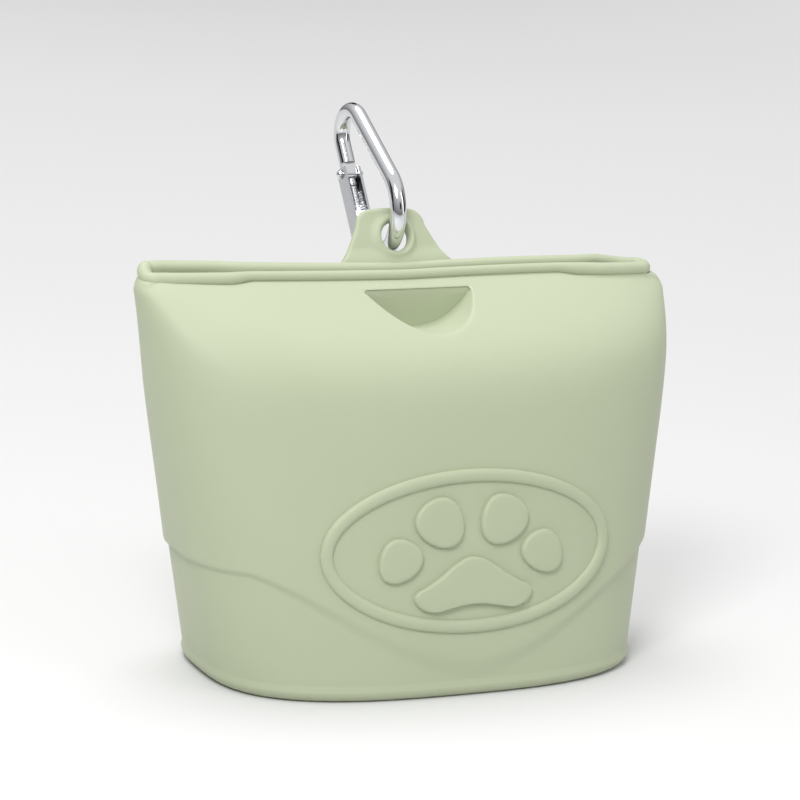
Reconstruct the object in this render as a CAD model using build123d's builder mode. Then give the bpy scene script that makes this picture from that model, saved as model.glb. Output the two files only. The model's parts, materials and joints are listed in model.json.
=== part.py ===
from build123d import *

import os
from math import atan2, copysign, cos, hypot, pi, radians, sin, sqrt, tan

# Soft treat pouch: a moulded silicone pocket with a flat back, a front wall that curves over to a
# straight magnetic mouth, a tab on the back lip, and a pear-shaped snap hook through the tab.
# Frame: X across the pouch, -Y towards the wearer's hand (front), +Z up, the floor at z = 0.
# All sizes are in millimetres.

# Pouch body
lip_height = 98.8          # top of the two rolled lips above the floor
base_half_width = 59.0     # half the width of the base across X
shoulder_half_width = 75.0  # half the greatest width
shoulder_height = 92.0     # height of the greatest width
lip_half_width = 71.6      # half the length of the mouth's rolled edge
wall = 2.2                 # silicone wall
floor_wall = 3.0           # silicone base
base_edge = 3.0            # rounding between the base and the walls
front_base = 32.6          # how far the front wall stands forward of the origin at the base
front_lean = 14.8          # how far the front wall leans back over its straight height
front_straight = 68.6      # height where the front wall starts to curve over
shoulder_fullness = 0.85   # 0 is a plain arc-like shoulder, 1 a square one
shoulder_crown_y = -14.2   # corner that the shoulder curve rounds
shoulder_crown_z = 85.2
rear_depth = 31.8          # how far the back wall stands behind the origin
rear_straight = 32.0       # height where the back wall starts to lean in
mouth_y = 19.0             # plane where the two lips meet
front_squareness = 2.75    # exponent of the front half of each cross-section
rear_squareness = 3.2      # exponent of the back half
section_points = 20        # points that shape each cross-section
straight_shares = (0, 0.22, 0.5, 0.78)  # where the straight part of the front wall is sampled
curve_shares = (0, 0.25, 0.45, 0.65, 0.83, 1)  # where the shoulder curve is sampled

# Mouth
bead_radius = 1.45         # rolled edge of the front lip and round the mouth's ends
rear_bead_radius = 2.0     # fuller rolled edge of the back lip
bead_seat_share = 0.72     # how far below its middle the rolled edge is cut flat, in radii
lip_gap = 0.4              # gap between the closed lips
rail_thickness = 3.2       # flange that holds the magnets
rail_depth = 13.0          # how far the flange hangs below the rolled edge
rail_half_length = 56.0
loop_half_gap = 3.5        # centre line of the rolled edge where it rounds each end
loop_straight = 3.0        # run before the rolled edge widens towards each end
loop_widening = 5.0        # run over which it widens
loop_corner = 2.0
loop_ledge = 0.3           # how far the wall stands inside the rolled edge at the open ends
panel_half_width = 58.0    # half the width of the wall that moves when the mouth opens
panel_bottom = 60.3        # height of the moving wall's lower edge
panel_gap = 0.35           # slit that lets the moving wall clear its neighbours

# Magnets
magnet_length = 30.0
magnet_height = 8.0
magnet_thickness = 1.6
magnet_pitch = 36.0
magnet_count = 3
pocket_clearance = 0.1
magnet_chamfer = 0.6

# Thumb notch
notch_half_width = 15.0
notch_depth = 10.9         # fall of the round lower edge below the straight upper edge
notch_top = 95.9
notch_back_y = 11.5        # plane of the notch's upright back wall
notch_rise = 7.0           # degrees that the notch rises from its back wall to its mouth

# Raised emblem
emblem_x = 2.4             # the emblem sits slightly off the middle
emblem_z = 36.3
ring_half_width = 41.0
ring_half_height = 20.2
ring_band = 3.3
relief_height = 1.2
relief_root = 0.8          # how deep the raised pieces key into the wall

# Tab on the back lip
tab_lean = 28.0            # degrees that the tab leans back
tab_length = 13.7
tab_root_half_width = 15.0
tab_top_half_width = 7.6
tab_corner = 4.0
tab_thickness = 2.0
boss_thickness = 2.6
boss_radius = 5.6
tab_hole_radius = 4.0
tab_hole_height = 6.6
tab_root_gap = 0.35
tab_root_angle = 40.0      # degrees from upright where the tab leaves the rear rolled edge

# Snap hook
wire_radius = 2.15
big_loop_radius = 11.4     # centre line of the wide end
small_loop_radius = 6.4    # centre line of the narrow end
loop_spacing = 23.8
hook_tilt = 33.0           # degrees between the wire and the tab hole's axis
hook_lean = 38.0           # degrees that the hook's long axis leans back
wire_drop = 0.3            # how far the wire rests below the middle of the hole
gate_pivot_v = 15.4        # height of the gate's pin above the middle of the wide end
gate_length = 20.6
gate_width = 5.0
gate_wall = 0.7
gate_clearance = 0.35
gate_end = 1.7             # how far the gate runs past its pin
gate_corner = 0.8
tongue_width = 3.2
tongue_depth = 2.6
tongue_rise = 2.9          # from the pin to the end of the round wire
nose_overrun = 0.6         # extra wire, in wire radii, that the nose's flat cut takes off
rivet_radius = 0.8
rivet_head_radius = 1.2
rivet_fit = 0.05
rivet_end = 0.1            # how far the pin stands out of the gate on each side
spring_wire = 0.35
spring_radius = 1.05
spring_length = 6.0
spring_drop = 3.2          # from the pin down to the spring
plug_gap = 1.4             # from the pin down to the plug
plug_edge = 0.5

# Worked-out places
bead_z = lip_height - bead_radius
bead_seat_z = bead_z - bead_seat_share * bead_radius
shell_top = bead_z
front_bead_y = mouth_y - lip_gap / 2 - bead_radius
rear_bead_y = mouth_y + lip_gap / 2 + rear_bead_radius
rear_bead_z = lip_height - rear_bead_radius
rail_bottom = bead_seat_z - rail_depth
front_edge_y = front_bead_y - bead_radius
rear_edge_y = rear_bead_y + rear_bead_radius
front_slope = front_lean / front_straight


def half_width(z):
    """Half the pouch's width at a height."""
    if z <= shoulder_height:
        return base_half_width + (shoulder_half_width - base_half_width) * z / shoulder_height
    rise = (z - shoulder_height) / (shell_top - shoulder_height)
    return shoulder_half_width - (shoulder_half_width - lip_half_width) * rise * rise


def rear_y(z):
    """Back wall's plane at a height."""
    if z <= rear_straight:
        return rear_depth
    share = (z - rear_straight) / (shell_top - rear_straight)
    return rear_depth + (rear_edge_y - rear_depth) * share


def front_profile():
    """Points (y, z) of the front wall's outline from the floor to the lip."""
    points = []
    for share in straight_shares:
        z = share * front_straight
        points.append((-front_base + front_slope * z, z))
    start = (-front_base + front_lean, front_straight)
    crown = (shoulder_crown_y, shoulder_crown_z)
    end = (front_edge_y, shell_top)
    near = [s + shoulder_fullness * (c - s) for s, c in zip(start, crown)]
    far = [e + shoulder_fullness * (c - e) for e, c in zip(end, crown)]
    for t in curve_shares:
        weights = ((1 - t) ** 3, 3 * t * (1 - t) ** 2, 3 * t * t * (1 - t), t**3)
        corners = (start, near, far, end)
        points.append(tuple(sum(w * c[i] for w, c in zip(weights, corners)) for i in (0, 1)))
    return points


def ring_points(front, z, grow):
    """Points of the cross-section at a height, its walls moved outwards by grow."""
    width = half_width(z) + grow
    middle = mouth_y * z / shell_top
    points = []
    for step in range(section_points):
        angle = 2 * pi * (step + 0.5) / section_points
        power = rear_squareness if sin(angle) > 0 else front_squareness
        reach = rear_y(z) + grow - middle if sin(angle) > 0 else middle - front
        x = copysign(abs(cos(angle)) ** (2 / power), cos(angle)) * width
        y = copysign(abs(sin(angle)) ** (2 / power), sin(angle)) * reach + middle
        points.append((x, y))
    return points


def pouch_form(grow, bottom):
    """Solid with the pouch's outline, its walls moved outwards by grow, from a floor level up."""
    outline = front_profile()
    moved = []
    for index, (y, z) in enumerate(outline):
        before = outline[max(index - 1, 0)]
        after = outline[min(index + 1, len(outline) - 1)]
        run = (after[0] - before[0], after[1] - before[1])
        size = hypot(*run)
        moved.append((y - grow * run[1] / size, z + grow * run[0] / size))
    shift = bottom - moved[0][1]
    moved[0] = (moved[0][0] + front_slope * shift, bottom)
    with BuildPart() as form:
        for y, z in moved:
            with BuildSketch(Plane.XY.offset(z)):
                with BuildLine():
                    Spline(*ring_points(y, z, grow), periodic=True)
                make_face()
        loft(ruled=True)
    return form.part


outer = pouch_form(0, 0)
cavity = pouch_form(-wall, floor_wall)
relief = pouch_form(relief_height, 0)
relief_seat = pouch_form(-relief_root, 0)

os.makedirs("parts", exist_ok=True)


def finish(piece, name):
    """Label a finished piece and write it."""
    piece.label = name
    export_step(piece, f"parts/{name}.step")


def magnet_places(y):
    """Centres of one lip's magnets."""
    first = -magnet_pitch * (magnet_count - 1) / 2
    middle = rail_bottom + wall / 2 + magnet_height / 2 + pocket_clearance
    return [(first + magnet_pitch * index, y, middle) for index in range(magnet_count)]


def rail(side):
    """Flange behind one lip with its magnet pockets; side is -1 for the front lip."""
    with BuildPart() as flange:
        with BuildSketch(Plane.XY.offset(rail_bottom)):
            with Locations((0, mouth_y + side * (lip_gap + rail_thickness) / 2)):
                Rectangle(2 * rail_half_length, rail_thickness)
        extrude(amount=bead_seat_z - rail_bottom)
    return flange.part


def pockets(side):
    """Magnet pockets, open at the seat that the rolled edge closes."""
    middle = mouth_y + side * (lip_gap + rail_thickness) / 2
    with BuildPart() as holes:
        for x, y, z in magnet_places(middle):
            floor_z = z - magnet_height / 2 - pocket_clearance
            with BuildSketch(Plane.XY.offset(floor_z)):
                with Locations((x, y)):
                    width = magnet_length + 2 * pocket_clearance
                    Rectangle(width, magnet_thickness + 2 * pocket_clearance)
            extrude(amount=bead_seat_z - floor_z)
    return holes.part


def notch_tool(grow, back):
    """Half-moon bar that runs forward and slightly up from an upright back plane."""
    half = notch_half_width + grow
    length = back + front_base
    run = (0, -length, length * tan(radians(notch_rise)))
    with BuildPart() as bar:
        with BuildSketch(Plane.XZ.offset(-back)):
            with BuildLine():
                Line((-half, notch_top), (half, notch_top))
                ThreePointArc((half, notch_top), (0, notch_top - notch_depth - grow), (-half, notch_top))
            make_face()
        extrude(amount=hypot(*run), dir=run)
    return bar.part


front_rail = rail(-1)
rear_rail = rail(1)
magnet_pockets = [pockets(-1), pockets(1)]
notch_space = notch_tool(0, notch_back_y)
notch_housing = notch_tool(wall, notch_back_y + wall) & outer
slit_height = lip_height - rail_bottom + wall
slit_size = (2 * panel_half_width, lip_gap, slit_height)
seat_size = (2 * panel_half_width, rear_edge_y - front_edge_y, 3 * bead_radius)
seat_y = (front_edge_y + rear_edge_y) / 2
end_length = lip_half_width - 2 * bead_radius - loop_ledge - panel_half_width
end_size = (end_length, 2 * (loop_half_gap - bead_radius - loop_ledge), slit_height)
on_floor = (Align.CENTER, Align.CENTER, Align.MIN)

# Whole soft shell, before it is split into its fixed and moving walls
with BuildPart() as soft_shell:
    add(outer)
    fillet(soft_shell.edges().group_by(Axis.Z)[0], base_edge)
    add(cavity, mode=Mode.SUBTRACT)
    add(front_rail)
    add(rear_rail)
    add(notch_housing)
    add(notch_space, mode=Mode.SUBTRACT)
    # Slit between the lips, seats for the rolled edges, and the two open ends of the mouth
    with Locations((0, mouth_y, rail_bottom - wall)):
        Box(*slit_size, align=on_floor, mode=Mode.SUBTRACT)
    with Locations((0, seat_y, bead_seat_z)):
        Box(*seat_size, align=on_floor, mode=Mode.SUBTRACT)
    for side in (-1, 1):
        with Locations((side * (panel_half_width + end_length / 2), mouth_y, rail_bottom)):
            Box(*end_size, align=on_floor, mode=Mode.SUBTRACT)
    for space in magnet_pockets:
        add(space, mode=Mode.SUBTRACT)

# Moving front wall: the part of the shell in front of the mouth plane and above the hinge line
panel_reach = front_base + mouth_y
panel_size = (2 * (panel_half_width - panel_gap), panel_reach, lip_height)
clearance_size = (2 * panel_half_width, panel_reach, lip_height)
in_front = (Align.CENTER, Align.MAX, Align.MIN)
with BuildPart() as panel_space:
    with Locations((0, mouth_y, panel_bottom)):
        Box(*panel_size, align=in_front)
with BuildPart() as panel_clearance:
    with Locations((0, mouth_y, panel_bottom - panel_gap)):
        Box(*clearance_size, align=in_front)

with BuildPart() as front_wall:
    add(soft_shell.part)
    add(panel_space.part, mode=Mode.INTERSECT)
finish(front_wall.part, "front_wall_panel")

# Raised ring and pads on the fixed front wall
emblem_size = (4 * ring_half_width, 2 * front_base, 4 * ring_half_height)
emblem_side = (Align.CENTER, Align.MAX, Align.CENTER)
with BuildPart() as relief_space:
    add(relief)
    add(relief_seat, mode=Mode.SUBTRACT)
    with Locations((0, 0, emblem_z)):
        Box(*emblem_size, align=emblem_side, mode=Mode.INTERSECT)

emblem_plane = Plane((emblem_x, 0, emblem_z), x_dir=(1, 0, 0), z_dir=(0, -1, 0))
relief_reach = front_base + 2 * relief_height

with BuildPart() as ring:
    with BuildSketch(emblem_plane):
        Ellipse(ring_half_width, ring_half_height)
        Ellipse(ring_half_width - ring_band, ring_half_height - ring_band, mode=Mode.SUBTRACT)
    extrude(amount=relief_reach)
    add(relief_space.part, mode=Mode.INTERSECT)

# Toe pads: centre across and up, half width, half height, and lean outwards in degrees
toe_pads = {
    "outer_left_toe_pad": (-20.2, -1.2, 5.7, 6.0, 24.0),
    "inner_left_toe_pad": (-8.8, 7.6, 6.5, 6.4, 8.0),
    "inner_right_toe_pad": (8.8, 7.6, 6.5, 6.4, -8.0),
    "outer_right_toe_pad": (20.2, -1.2, 5.7, 6.0, -24.0),
}
pads = {}
for pad_name, (across, up, half_across, half_up, lean) in toe_pads.items():
    with BuildPart() as pad:
        with BuildSketch(emblem_plane):
            with Locations(Location((across, up), lean)):
                Ellipse(half_across, half_up)
        extrude(amount=relief_reach)
        add(relief_space.part, mode=Mode.INTERSECT)
    pads[pad_name] = pad.part

with BuildPart() as main_pad:
    with BuildSketch(emblem_plane):
        with BuildLine():
            arch = [(16.2, -10.8), (10.7, -6.7), (4.5, -2.6)]
            foot = [(5.0, -13.4), (11.0, -14.6), (15.0, -14.0)]
            right_side = [*arch[::-1], *foot[::-1]]
            left_side = [(-x, y) for x, y in right_side[::-1]]
            Spline((0, -1.5), *right_side, (0, -13.1), *left_side, periodic=True)
        make_face()
    extrude(amount=relief_reach)
    add(relief_space.part, mode=Mode.INTERSECT)
pads["main_paw_pad"] = main_pad.part

# Rolled edge round each end of the mouth, fixed to the body
loop_end = lip_half_width - bead_radius
loop_turn = panel_half_width + loop_straight
loop_start = panel_half_width - panel_gap / 2
loop_corners = [
    (loop_start, mouth_y + lip_gap / 2 + bead_radius),
    (loop_turn, mouth_y + lip_gap / 2 + bead_radius),
    (loop_turn + loop_widening, mouth_y + loop_half_gap),
    (loop_end, mouth_y + loop_half_gap),
    (loop_end, mouth_y - loop_half_gap),
    (loop_turn + loop_widening, mouth_y - loop_half_gap),
    (loop_turn, front_bead_y),
    (loop_start, front_bead_y),
]
with BuildPart() as end_loop:
    with BuildLine() as loop_path:
        FilletPolyline(*[(x, y, bead_z) for x, y in loop_corners], radius=loop_corner)
    with BuildSketch(Plane(loop_path.line @ 0, z_dir=loop_path.line % 0)):
        Circle(bead_radius)
    sweep()

# Fixed body: base, back wall, sides, lower front wall and the ends of the mouth
with BuildPart() as body:
    add(soft_shell.part)
    add(panel_clearance.part, mode=Mode.SUBTRACT)
    add(end_loop.part)
    add(end_loop.part.mirror(Plane.YZ))
    add(ring.part, mode=Mode.SUBTRACT)
    for pad in pads.values():
        add(pad, mode=Mode.SUBTRACT)
finish(body.part, "pouch_body")
finish(ring.part, "emblem_ring")
for pad_name, pad in pads.items():
    finish(pad, pad_name)

# Rolled edges that close the magnet pockets
bead_length = 2 * (panel_half_width - panel_gap)
for bead_name, bead_y, radius in (
    ("front_rolled_lip", front_bead_y, bead_radius),
    ("rear_rolled_lip", rear_bead_y, rear_bead_radius),
):
    with BuildPart() as bead:
        with BuildSketch(Plane.YZ.offset(-bead_length / 2)):
            with Locations((bead_y, lip_height - radius)):
                Circle(radius)
        extrude(amount=bead_length)
        split(bisect_by=Plane.XY.offset(bead_seat_z), keep=Keep.TOP)
    finish(bead.part, bead_name)

# Bar magnets sealed in the two flanges
for lip_name, side in (("front", -1), ("rear", 1)):
    middle = mouth_y + side * (lip_gap + rail_thickness) / 2
    for index, place in enumerate(magnet_places(middle)):
        with BuildPart() as magnet:
            with Locations(place):
                Box(magnet_length, magnet_thickness, magnet_height)
            chamfer(magnet.edges().filter_by(Axis.Y), magnet_chamfer)
        finish(magnet.part, f"{lip_name}_magnet_{index + 1}")

# Tab: a plate that leans back from the rear lip, thicker round its hole
root_reach = rear_bead_radius + tab_root_gap + tab_thickness / 2
root_angle = radians(tab_root_angle)
tab_root = (0, rear_bead_y + root_reach * sin(root_angle), rear_bead_z + root_reach * cos(root_angle))
lean = radians(tab_lean)
tab_plane = Plane(tab_root, x_dir=(1, 0, 0), z_dir=(0, -cos(lean), sin(lean)))
with BuildPart() as tab:
    with BuildSketch(tab_plane.offset(-tab_thickness / 2)):
        with BuildLine():
            Polyline(
                (-tab_root_half_width, 0),
                (-tab_top_half_width, tab_length),
                (tab_top_half_width, tab_length),
                (tab_root_half_width, 0),
                close=True,
            )
        outline_face = make_face()
        fillet(outline_face.vertices().group_by(Axis.Z)[-1], tab_corner)
    extrude(amount=tab_thickness)
    with BuildSketch(tab_plane.offset(-boss_thickness / 2)):
        with Locations((0, tab_hole_height)):
            Circle(boss_radius)
    extrude(amount=boss_thickness)
    with BuildSketch(Plane.YZ.offset(-tab_root_half_width)):
        with Locations((tab_root[1], tab_root[2])):
            Circle(tab_thickness / 2)
    extrude(amount=2 * tab_root_half_width)
    with BuildSketch(tab_plane.offset(-boss_thickness)):
        with Locations((0, tab_hole_height)):
            Circle(tab_hole_radius)
    extrude(amount=2 * boss_thickness, mode=Mode.SUBTRACT)
finish(tab.part, "hang_tab")

# Snap hook: its own plane has u towards the front of the pouch and v towards the narrow end
hole_y = tab_root[1] + tab_hole_height * sin(lean)
hole_z = tab_root[2] + tab_hole_height * cos(lean)
wire_y = hole_y - wire_drop * sin(lean)
wire_z = hole_z - wire_drop * cos(lean)
# The wire crosses the hole hook_tilt above the hole's axis, so the wide loop's middle lies up and back
radial = radians(tab_lean + hook_tilt)
loop_y = wire_y + big_loop_radius * sin(radial)
loop_z = wire_z + big_loop_radius * cos(radial)
back = radians(hook_lean)
v_dir = (0, sin(back), cos(back))
hook_plane = Plane((0, loop_y, loop_z), x_dir=(0, -cos(back), sin(back)), z_dir=(-1, 0, 0))

small_u = -(big_loop_radius - small_loop_radius)
reach = hypot(small_u, loop_spacing)
# Direction, in the hook's plane, of the normal to the spine that touches both loops
spine_normal = atan2(loop_spacing, small_u) - pi / 2 + atan2(
    big_loop_radius - small_loop_radius, sqrt(reach**2 - (big_loop_radius - small_loop_radius) ** 2)
)
shoulder_v = gate_pivot_v + tongue_rise
nose_v = gate_pivot_v - gate_length - gate_clearance
uncut_nose_v = nose_v + wire_radius * nose_overrun
nose_angle = pi + atan2(-uncut_nose_v, sqrt(big_loop_radius**2 - uncut_nose_v**2))


def on_loop(centre, radius, angle):
    """Point of a circle in the hook's plane."""
    return (centre[0] + radius * cos(angle), centre[1] + radius * sin(angle))


big_centre = (0, 0)
small_centre = (small_u, loop_spacing)
with BuildPart() as hook_wire:
    with BuildLine(hook_plane) as wire_path:
        low_middle = (nose_angle + 2 * pi + spine_normal) / 2
        nose = on_loop(big_centre, big_loop_radius, nose_angle)
        spine_low = on_loop(big_centre, big_loop_radius, spine_normal)
        spine_high = on_loop(small_centre, small_loop_radius, spine_normal)
        small_side = on_loop(small_centre, small_loop_radius, pi)
        ThreePointArc(nose, on_loop(big_centre, big_loop_radius, low_middle), spine_low)
        Line(spine_low, spine_high)
        high_middle = (spine_normal + pi) / 2
        ThreePointArc(spine_high, on_loop(small_centre, small_loop_radius, high_middle), small_side)
        Line(small_side, (-big_loop_radius, shoulder_v))
    with BuildSketch(Plane(wire_path.line @ 0, z_dir=wire_path.line % 0)):
        Circle(wire_radius)
    sweep()
    # The nose is cut flat where the gate's end swings past it
    with BuildSketch(hook_plane.offset(-gate_width)):
        with Locations((-big_loop_radius, nose_v + gate_width / 2)):
            Rectangle(2 * gate_width, gate_width)
    extrude(amount=2 * gate_width, mode=Mode.SUBTRACT)
    # Flat tongue that carries the gate's pin
    with BuildSketch(hook_plane.offset(-tongue_width / 2)):
        with Locations((-big_loop_radius, (gate_pivot_v + shoulder_v) / 2)):
            Rectangle(tongue_depth, shoulder_v - gate_pivot_v)
        with Locations((-big_loop_radius, gate_pivot_v)):
            Circle(tongue_depth / 2)
    extrude(amount=tongue_width)
    with BuildSketch(hook_plane.offset(-gate_width)):
        with Locations((-big_loop_radius, gate_pivot_v)):
            Circle(rivet_radius + rivet_fit)
    extrude(amount=2 * gate_width, mode=Mode.SUBTRACT)
finish(hook_wire.part, "hook_frame")

# Gate: a channel, open towards the inside of the hook, that turns on a pin through the tongue
gate_top = gate_pivot_v + gate_end
gate_bottom = gate_pivot_v - gate_length
inner_width = gate_width - 2 * gate_wall
with BuildPart() as gate:
    with BuildSketch(hook_plane.offset(-gate_width / 2)):
        with Locations((-big_loop_radius, (gate_top + gate_bottom) / 2)):
            RectangleRounded(2 * wire_radius, gate_top - gate_bottom, gate_corner)
    extrude(amount=gate_width)
    with BuildSketch(hook_plane.offset(-inner_width / 2)):
        slot_u = -big_loop_radius + gate_wall
        with Locations((slot_u, (gate_top + gate_bottom) / 2)):
            Rectangle(2 * wire_radius, gate_length * 2)
    extrude(amount=inner_width, mode=Mode.SUBTRACT)
    with BuildSketch(hook_plane.offset(-gate_width)):
        with Locations((-big_loop_radius, gate_pivot_v)):
            Circle(rivet_radius + rivet_fit)
    extrude(amount=2 * gate_width, mode=Mode.SUBTRACT)
finish(gate.part, "gate_channel")

# Pin with two domed heads
rivet_length = gate_width + 2 * rivet_end
with BuildPart() as rivet:
    with BuildSketch(hook_plane.offset(-rivet_length / 2)):
        with Locations((-big_loop_radius, gate_pivot_v)):
            Circle(rivet_radius)
    extrude(amount=rivet_length)
    for side in (-1, 1):
        head = hook_plane.offset(side * rivet_length / 2)
        with Locations(head.from_local_coords((-big_loop_radius, gate_pivot_v, 0))):
            Sphere(rivet_head_radius)
    with BuildSketch(hook_plane.offset(-rivet_length / 2)):
        with Locations((-big_loop_radius, gate_pivot_v)):
            Circle(2 * rivet_head_radius)
            Circle(rivet_radius, mode=Mode.SUBTRACT)
    extrude(amount=rivet_length, mode=Mode.SUBTRACT)
finish(rivet.part, "gate_rivet")

# Coil spring in the channel, and the plug that it presses against the tongue
spring_top = gate_pivot_v - spring_drop
with BuildPart() as spring:
    coil_u = -big_loop_radius
    spring_start = hook_plane.from_local_coords((coil_u, spring_top - spring_length, 0))
    coil_plane = Plane(spring_start, x_dir=(1, 0, 0), z_dir=v_dir)
    with BuildSketch(coil_plane):
        Circle(spring_radius + spring_wire / 2)
        Circle(spring_radius - spring_wire / 2, mode=Mode.SUBTRACT)
    extrude(amount=spring_length)
finish(spring.part, "gate_spring")

with BuildPart() as plug:
    plug_start = hook_plane.from_local_coords((coil_u, spring_top, 0))
    with BuildSketch(Plane(plug_start, x_dir=(1, 0, 0), z_dir=v_dir)):
        Circle(spring_radius + spring_wire / 2)
    extrude(amount=spring_drop - plug_gap)
    fillet(plug.edges().sort_by(Axis.Z)[-1], plug_edge)
finish(plug.part, "spring_plug")

hole_axis = (0, -cos(lean), sin(lean))
pivot = hook_plane.from_local_coords((-big_loop_radius, gate_pivot_v, 0))
hinge_y = -front_base + front_slope * panel_bottom
print("mouth hinge", 0, hinge_y, panel_bottom)
print("tab hinge", *tab_root)
print("hook hinge", 0, hole_y, hole_z, "axis", *hole_axis)
print("gate hinge", *pivot)
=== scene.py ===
import json
from math import atan2, cos, pi, radians, sin, tan

import bpy
import numpy as np
from mathutils import Matrix, Vector


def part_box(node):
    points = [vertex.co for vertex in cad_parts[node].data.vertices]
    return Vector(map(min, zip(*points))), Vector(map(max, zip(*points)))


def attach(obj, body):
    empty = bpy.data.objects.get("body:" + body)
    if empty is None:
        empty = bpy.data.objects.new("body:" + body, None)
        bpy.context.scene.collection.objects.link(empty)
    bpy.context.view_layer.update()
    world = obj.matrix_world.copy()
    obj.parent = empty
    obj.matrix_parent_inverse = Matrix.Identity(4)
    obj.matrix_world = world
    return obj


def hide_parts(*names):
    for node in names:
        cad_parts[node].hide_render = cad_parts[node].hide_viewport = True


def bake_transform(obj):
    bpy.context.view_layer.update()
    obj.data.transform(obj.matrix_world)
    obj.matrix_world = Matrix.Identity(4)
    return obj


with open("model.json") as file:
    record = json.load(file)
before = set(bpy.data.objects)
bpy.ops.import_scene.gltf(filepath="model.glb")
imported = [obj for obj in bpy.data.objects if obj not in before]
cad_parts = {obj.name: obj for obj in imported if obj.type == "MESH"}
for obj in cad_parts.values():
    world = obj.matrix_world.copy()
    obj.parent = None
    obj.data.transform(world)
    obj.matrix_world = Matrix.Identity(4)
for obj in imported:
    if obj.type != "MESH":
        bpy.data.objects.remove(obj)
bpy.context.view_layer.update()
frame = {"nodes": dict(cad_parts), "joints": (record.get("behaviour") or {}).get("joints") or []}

# Soft treat pouch: one silicone skin with a rolled mouth, raised emblem pieces, a tab and a chrome hook.
MM = 0.001
body_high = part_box("pouch_body")[1]
front_bead_low, front_bead_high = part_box("front_rolled_lip")
rear_bead_low, rear_bead_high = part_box("rear_rolled_lip")
tab_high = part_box("hang_tab")[1]
hinges = {joint["name"]: joint for joint in frame["joints"]}

# Body sizes, in metres
lip_top = body_high.z
shoulder_half_width = 75.0 * MM
base_half_width = 59.0 * MM
shoulder_height = 92.0 * MM
lip_half_width = 71.6 * MM
wall = 2.2 * MM
floor_wall = 3.0 * MM
base_edge = 3.0 * MM
front_base = 32.6 * MM
front_lean = 14.8 * MM
front_straight = 68.6 * MM
shoulder_fullness = 0.85
shoulder_crown = np.array([-14.2 * MM, 85.2 * MM])
rear_depth = 31.8 * MM
rear_straight = 32.0 * MM
front_squareness = 2.75
rear_squareness = 3.2
mouth_y = (front_bead_high.y + rear_bead_low.y) / 2
lip_gap = rear_bead_low.y - front_bead_high.y
front_bead_radius = (front_bead_high.y - front_bead_low.y) / 2
bead_z = lip_top - front_bead_radius
shell_top = bead_z
rail_thickness = 3.2 * MM
rail_bottom = lip_top - 15.5 * MM
ceiling_z = lip_top - 9.0 * MM

# Mesh resolution
AROUND = 512
angles = 2 * pi * np.arange(AROUND) / AROUND
is_rear = np.sin(angles) > 0


def smooth(low, high, value):
    """0 at low, 1 at high, eased between them."""
    share = np.clip((value - low) / (high - low), 0, 1)
    return share * share * (3 - 2 * share)


# ---------------------------------------------------------------- outline of the pouch

start = np.array([-front_base + front_lean, front_straight])
end = np.array([front_bead_low.y, shell_top])
near = start + shoulder_fullness * (shoulder_crown - start)
far = end + shoulder_fullness * (shoulder_crown - end)


def shoulder(t):
    """Point (y, z) of the front wall's curve from its straight part to the lip."""
    return (1 - t) ** 3 * start + 3 * t * (1 - t) ** 2 * near + 3 * t * t * (1 - t) * far + t**3 * end


shoulder_curve = np.array([shoulder(t) for t in np.linspace(0, 1, 400)])


def front_y(z):
    """Front wall's furthest-forward place at a height."""
    straight = -front_base + front_lean / front_straight * z
    return np.where(z <= front_straight, straight, np.interp(z, shoulder_curve[:, 1], shoulder_curve[:, 0]))


def rear_y(z):
    """Back wall's place at a height."""
    share = np.clip((z - rear_straight) / (shell_top - rear_straight), 0, 1)
    return rear_depth + (rear_bead_high.y - rear_depth) * share


def half_width(z):
    """Half the pouch's width at a height."""
    low = base_half_width + (shoulder_half_width - base_half_width) * z / shoulder_height
    rise = (z - shoulder_height) / (shell_top - shoulder_height)
    high = shoulder_half_width - (shoulder_half_width - lip_half_width) * rise * rise
    return np.where(z <= shoulder_height, low, high)


STEP = 1.0 * MM
step_level = 31 * MM
step_dip = 24 * MM
step_middle_x = 3 * MM
step_dip_reach = 58 * MM
crisp_step = 0.7 * MM
broad_step = 2.3 * MM


def smooth_down(distance):
    """1 at the middle, 0 beyond the emblem's sides, falling like a shallow bowl."""
    share = np.clip(1 - distance / step_dip_reach, 0, 1)
    return 1 - (1 - share**1.35) ** 1.75


def step_height(x, dip=1.0):
    """Height of the soft step round the wall: level at the sides and back, dipping under the emblem."""
    return step_level - step_dip * dip * smooth_down(np.abs(x - step_middle_x))


def step_share(x, z, dip=1.0):
    """0 below the step, 1 above it; the step is crisp at the sides and broad under the emblem."""
    half = crisp_step + broad_step * smooth_down(np.abs(x - step_middle_x))
    return smooth(-1, 1, (z - step_height(x, dip)) / half)


OPEN_LEFT = 1.5 * MM
OPEN_RIGHT = 1.3 * MM


def gap_half(x):
    """Half the gap between the closed lips: open teardrops at the two ends, longer on the left."""
    closing = 1 - 0.75 * smooth(58 * MM, 69 * MM, np.abs(x))
    left = OPEN_LEFT * smooth(44 * MM, 58 * MM, -x) * closing
    right = OPEN_RIGHT * smooth(50 * MM, 60 * MM, x) * closing
    return lip_gap / 2 + left + right


def ring(z, front, rear, width):
    """Closed cross-section of the pouch, its corners rounded by the squareness powers."""
    c, s = np.cos(angles), np.sin(angles)
    power = np.where(is_rear, rear_squareness, front_squareness)
    size = (np.abs(c) ** power + np.abs(s) ** power) ** (-1 / power)
    middle = mouth_y * z / shell_top
    reach = np.where(is_rear, rear - middle, middle - front)
    return np.stack([width * c * size, middle + reach * s * size, np.full(AROUND, z)], 1)


def wall_ring(z, grow=0.0, inset=0.0):
    """The wall's cross-section at a height, moved outwards by grow."""
    out = grow - inset
    return ring(z, float(front_y(z)) - out, float(rear_y(z)) + out, float(half_width(z)) + out)


# ---------------------------------------------------------------- the mouth's rolled edge

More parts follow.
